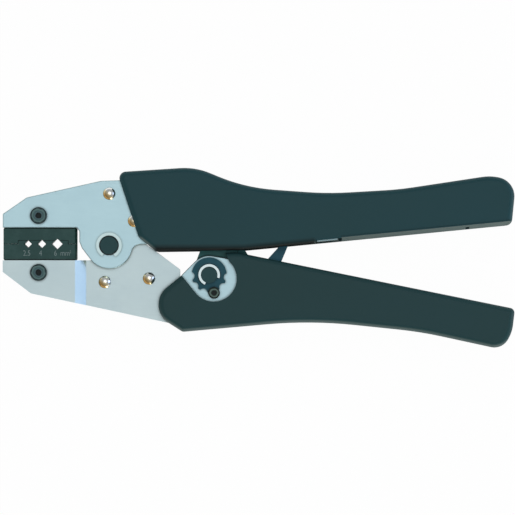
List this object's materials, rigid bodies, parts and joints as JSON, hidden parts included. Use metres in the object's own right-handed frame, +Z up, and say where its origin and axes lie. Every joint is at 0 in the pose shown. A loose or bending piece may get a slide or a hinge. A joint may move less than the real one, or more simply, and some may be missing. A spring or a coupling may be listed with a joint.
{
  "type": "ratchet crimping tool",
  "caption": "Hand crimping tool with plated steel jaws, interchangeable dies with diamond nests, a ratcheted toggle drive, an adjusting wheel and dark moulded grips.",
  "frame": {"origin": "under the middle of the tool's bounding box, on the surface that the tool lies on", "axes": "+X along the handles away from the jaws, +Y from the lower handle to the upper handle, +Z up through the thickness"},
  "size_m": [0.2195, 0.077, 0.022],
  "materials": {
    "steel_plate": "zinc plated, satin",
    "dark_steel": "black oxide, hardened",
    "dark_pin": "black oxide, turned",
    "ring_steel": "spring steel, bright",
    "black_screw": "black oxide",
    "plated_rivet": "bright zinc plated",
    "spring_wire": "drawn spring wire",
    "grip_plastic": "moulded, fine texture"
  },
  "bodies": {
    "frame": {"upper_plate_front": "steel_plate", "upper_plate_rear": "steel_plate", "upper_die": "dark_steel", "upper_die_screw": "black_screw", "main_pivot_pin": "dark_pin", "main_pivot_rings": "ring_steel", "head_spacer": "dark_steel", "head_rivets": "plated_rivet", "link_pin": "dark_pin", "upper_handle_rivets": "plated_rivet", "upper_handle_spacers": "plated_rivet", "return_spring_post": "dark_pin", "return_spring": "spring_wire", "upper_grip_front": "grip_plastic", "upper_grip_rear": "grip_plastic", "upper_grip_screws": "black_screw"},
    "lower_jaw": {"lower_jaw_plate_front": "steel_plate", "lower_jaw_plate_rear": "steel_plate", "lower_die": "dark_steel", "lower_die_screw": "black_screw", "lower_jaw_spacer": "dark_steel", "lower_jaw_rivets": "plated_rivet"},
    "lower_handle": {"lower_handle_plate_front": "steel_plate", "lower_handle_plate_rear": "steel_plate", "handle_pivot_pin": "dark_pin", "adjusting_pin": "dark_pin", "adjusting_wheel": "dark_steel", "adjusting_rings": "ring_steel", "lock_screw": "black_screw", "pawl_pin": "dark_pin", "pawl_spring_post": "dark_pin", "pawl_spring": "spring_wire", "lower_handle_rivets": "plated_rivet", "lower_handle_spacers": "plated_rivet", "lower_grip_front": "grip_plastic", "lower_grip_rear": "grip_plastic", "lower_grip_screws": "black_screw"},
    "toggle_link": {"link_plate_front": "dark_steel", "link_plate_rear": "dark_steel", "ratchet_sector": "dark_steel", "link_rivet": "dark_pin", "return_hook_pin": "dark_pin"},
    "ratchet_pawl": {"ratchet_pawl": "dark_steel"}
  },
  "joints": [
    {"name": "jaw_pivot", "type": "hinge", "parent": "frame", "child": "lower_jaw", "pos_m": [-0.064, 0.0054, 0.011], "axis": [0, 0, 1], "range_deg": [0, 13.46]},
    {"name": "handle_pivot", "type": "hinge", "parent": "lower_jaw", "child": "lower_handle", "pos_m": [-0.0336, -0.0185, 0.011], "axis": [0, 0, -1], "range_deg": [0, 51], "deforming": ["return_spring"]},
    {"name": "link_pivot", "type": "hinge", "parent": "lower_handle", "child": "toggle_link", "pos_m": [-0.021, -0.0076, 0.011], "axis": [0, 0, 1], "range_deg": [0, 58.23]},
    {"name": "pawl_pivot", "type": "hinge", "parent": "lower_handle", "child": "ratchet_pawl", "pos_m": [0.0038, -0.009, 0.011], "axis": [0, 0, 1], "range_deg": [0, 14], "stiffness_Nm_per_rad": 0.02, "deforming": ["pawl_spring"]}
  ],
  "couplings": [
    {"joint": "jaw_pivot", "follows": "handle_pivot", "ratio": 0.26},
    {"joint": "link_pivot", "follows": "handle_pivot", "ratio": 1.134}
  ]
}
